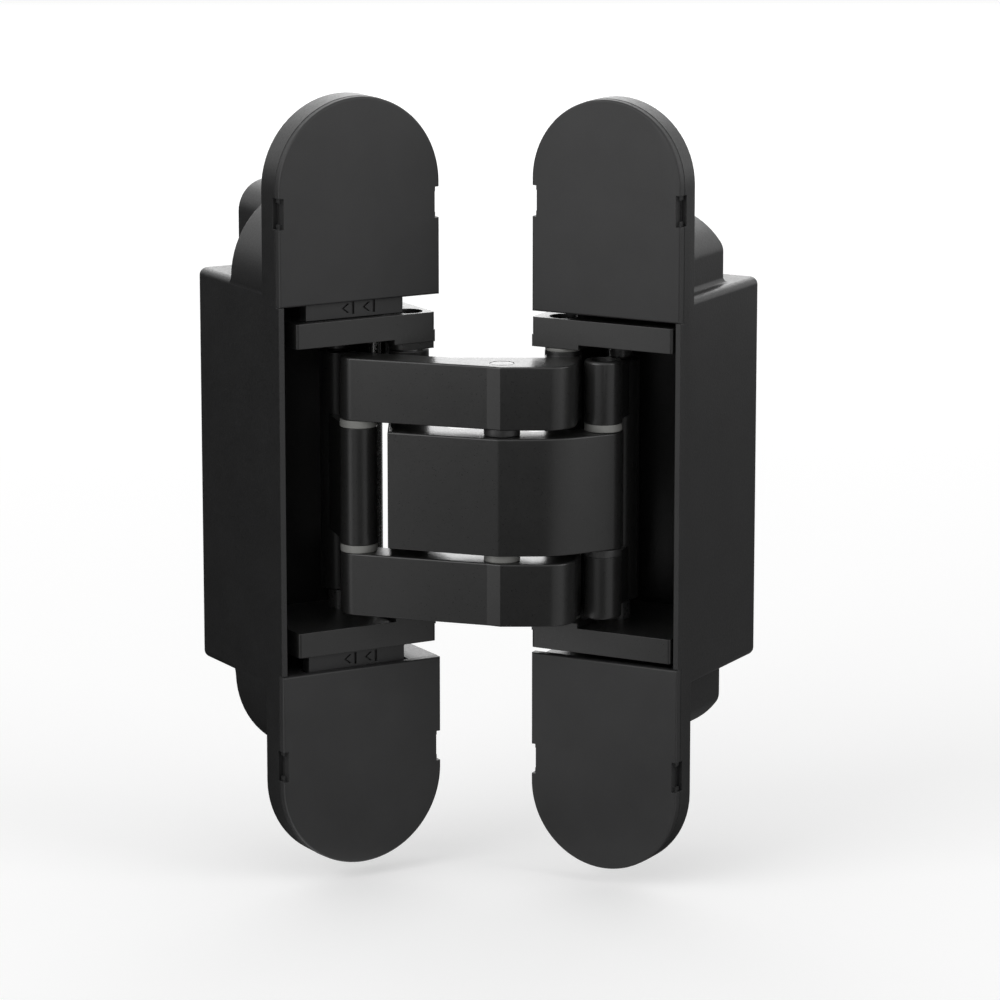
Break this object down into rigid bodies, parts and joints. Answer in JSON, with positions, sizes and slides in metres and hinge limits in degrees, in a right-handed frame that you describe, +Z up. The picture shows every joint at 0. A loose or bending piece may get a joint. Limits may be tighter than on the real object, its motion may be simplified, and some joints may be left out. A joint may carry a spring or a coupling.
{
  "type": "concealed door hinge",
  "caption": "Concealed door hinge in satin black, half open, with two let-in housings, crossing arms on pins, short links and clip-on covers.",
  "frame": {"origin": "middle of the frame-side plate's front face, where the covers' faces lie", "axes": "+X along the frame-side plate's width towards the knuckle, +Y into the frame's wood, +Z up"},
  "size_m": [0.068, 0.0552, 0.11],
  "materials": {
    "housing_black": "fine satin powder coat",
    "cover_black": "matt, a little lighter than the housings",
    "moving_black": "satin black coat",
    "pale_washer": "pale grey bearing plastic",
    "dark_spacer": "satin dark",
    "dark_pin": "dark turned steel",
    "bright_pin": "bright turned steel"
  },
  "bodies": {
    "frame_housing": {"frame_housing": "housing_black", "frame_cover_upper": "cover_black", "frame_cover_lower": "cover_black"},
    "frame_adjuster": {"frame_adjuster_upper": "cover_black", "frame_adjuster_lower": "cover_black"},
    "frame_carriage": {"frame_end_plate_upper": "moving_black", "frame_end_plate_lower": "moving_black", "frame_pivot_pins": "dark_pin", "frame_rear_pins": "dark_pin", "frame_tie_pin": "bright_pin"},
    "centre_arm": {"centre_arm": "moving_black"},
    "outer_arm": {"outer_arm": "moving_black", "centre_pin": "dark_pin", "centre_spacer": "dark_spacer", "centre_washer": "pale_washer", "frame_link_pin": "dark_pin", "frame_link_washers": "pale_washer", "door_pivot_washers": "pale_washer"},
    "frame_link": {"frame_link": "moving_black"},
    "door_link": {"door_link": "moving_black", "door_link_pin": "dark_pin", "door_link_washer": "pale_washer", "door_link_spacer": "dark_spacer"},
    "door_carriage": {"door_end_plate_upper": "moving_black", "door_end_plate_lower": "moving_black", "door_pivot_pins": "dark_pin", "door_rear_pins": "dark_pin", "door_tie_pin": "bright_pin"},
    "door_housing": {"door_housing": "housing_black", "door_cover_upper": "cover_black", "door_cover_lower": "cover_black"},
    "frame_screw_upper": {"frame_adjusting_screw_upper": "dark_pin"},
    "frame_screw_lower": {"frame_adjusting_screw_lower": "dark_pin"},
    "door_screw_upper": {"door_adjusting_screw_upper": "dark_pin"},
    "door_screw_lower": {"door_adjusting_screw_lower": "dark_pin"}
  },
  "joints": [
    {"name": "frame_side_slide", "type": "slide", "parent": "frame_housing", "child": "frame_adjuster", "axis": [1, 0, 0], "range_m": [-0.0005, 0.0005]},
    {"name": "frame_height_slide", "type": "slide", "parent": "frame_adjuster", "child": "frame_carriage", "axis": [0, 0, 1], "range_m": [-0.002, 0.002]},
    {"name": "frame_pivot_turn", "type": "hinge", "parent": "frame_carriage", "child": "centre_arm", "pos_m": [0.00896, 0.0024, 0], "axis": [0, 0, 1], "range_deg": [-89.16, 11.7]},
    {"name": "centre_turn", "type": "hinge", "parent": "centre_arm", "child": "outer_arm", "pos_m": [0.01458, -0.01425, 0], "axis": [0, 0, 1], "range_deg": [-6.42, 48.29]},
    {"name": "door_pivot_turn", "type": "hinge", "parent": "outer_arm", "child": "door_carriage", "pos_m": [0.02578, -0.01203, 0], "axis": [0, 0, 1], "range_deg": [-80.95, 10.71]},
    {"name": "frame_link_turn", "type": "hinge", "parent": "outer_arm", "child": "frame_link", "pos_m": [0.00023, 0.0013, 0], "axis": [0, 0, 1], "range_deg": [-54.34, 7.22]},
    {"name": "door_link_turn", "type": "hinge", "parent": "centre_arm", "child": "door_link", "pos_m": [0.02854, -0.01839, 0], "axis": [0, 0, 1], "range_deg": [-7.04, 52.98]},
    {"name": "door_depth_slide", "type": "slide", "parent": "door_carriage", "child": "door_housing", "axis": [0.8496, 0.5274, 0], "range_m": [-0.001, 0.001]},
    {"name": "frame_screw_upper_turn", "type": "hinge", "parent": "frame_housing", "child": "frame_screw_upper", "pos_m": [0, 0.0035, 0.0342], "axis": [0, 1, 0], "range_deg": [-180, 180]},
    {"name": "frame_screw_lower_turn", "type": "hinge", "parent": "frame_housing", "child": "frame_screw_lower", "pos_m": [0, 0.0035, -0.0342], "axis": [0, 1, 0], "range_deg": [-180, 180]},
    {"name": "door_screw_upper_turn", "type": "hinge", "parent": "door_housing", "child": "door_screw_upper", "pos_m": [0.02912, -0.01913, 0.0342], "axis": [0.8496, 0.5274, 0], "range_deg": [-180, 180]},
    {"name": "door_screw_lower_turn", "type": "hinge", "parent": "door_housing", "child": "door_screw_lower", "pos_m": [0.02912, -0.01913, -0.0342], "axis": [0.8496, 0.5274, 0], "range_deg": [-180, 180]}
  ],
  "couplings": [
    {"joint": "centre_turn", "follows": "frame_pivot_turn", "ratio": -0.5405},
    {"joint": "door_pivot_turn", "follows": "frame_pivot_turn", "ratio": 0.9068},
    {"joint": "frame_link_turn", "follows": "frame_pivot_turn", "ratio": 0.6084},
    {"joint": "door_link_turn", "follows": "frame_pivot_turn", "ratio": -0.5931}
  ]
}
